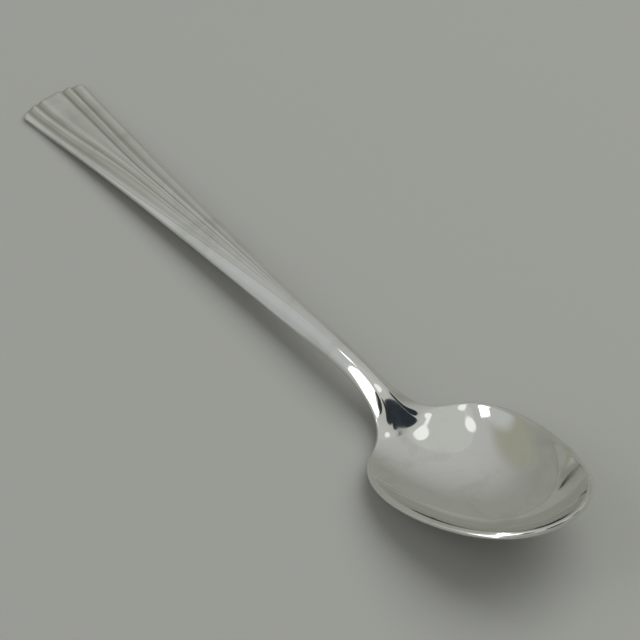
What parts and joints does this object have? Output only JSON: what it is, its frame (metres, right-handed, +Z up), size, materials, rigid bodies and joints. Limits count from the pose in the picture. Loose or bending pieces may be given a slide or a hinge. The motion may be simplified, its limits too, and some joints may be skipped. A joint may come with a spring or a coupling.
{
  "type": "coffee spoon",
  "caption": "Small polished spoon with an egg-shaped bowl, a slim domed stem and a flared, fluted fan handle; for stirring and sipping coffee.",
  "frame": {"origin": "on the table, under the middle of the spoon's box, with the spoon lying face up as it rests", "axes": "+X from the fan's end to the bowl's tip, +Z up, out of the bowl"},
  "size_m": [0.1159, 0.0238, 0.014],
  "materials": {
    "bowl_silver": "mirror polish",
    "handle_silver": "mirror polish, worn to satin on the fan"
  },
  "bodies": {
    "root": {"bowl": "bowl_silver", "handle": "handle_silver"}
  },
  "joints": []
}
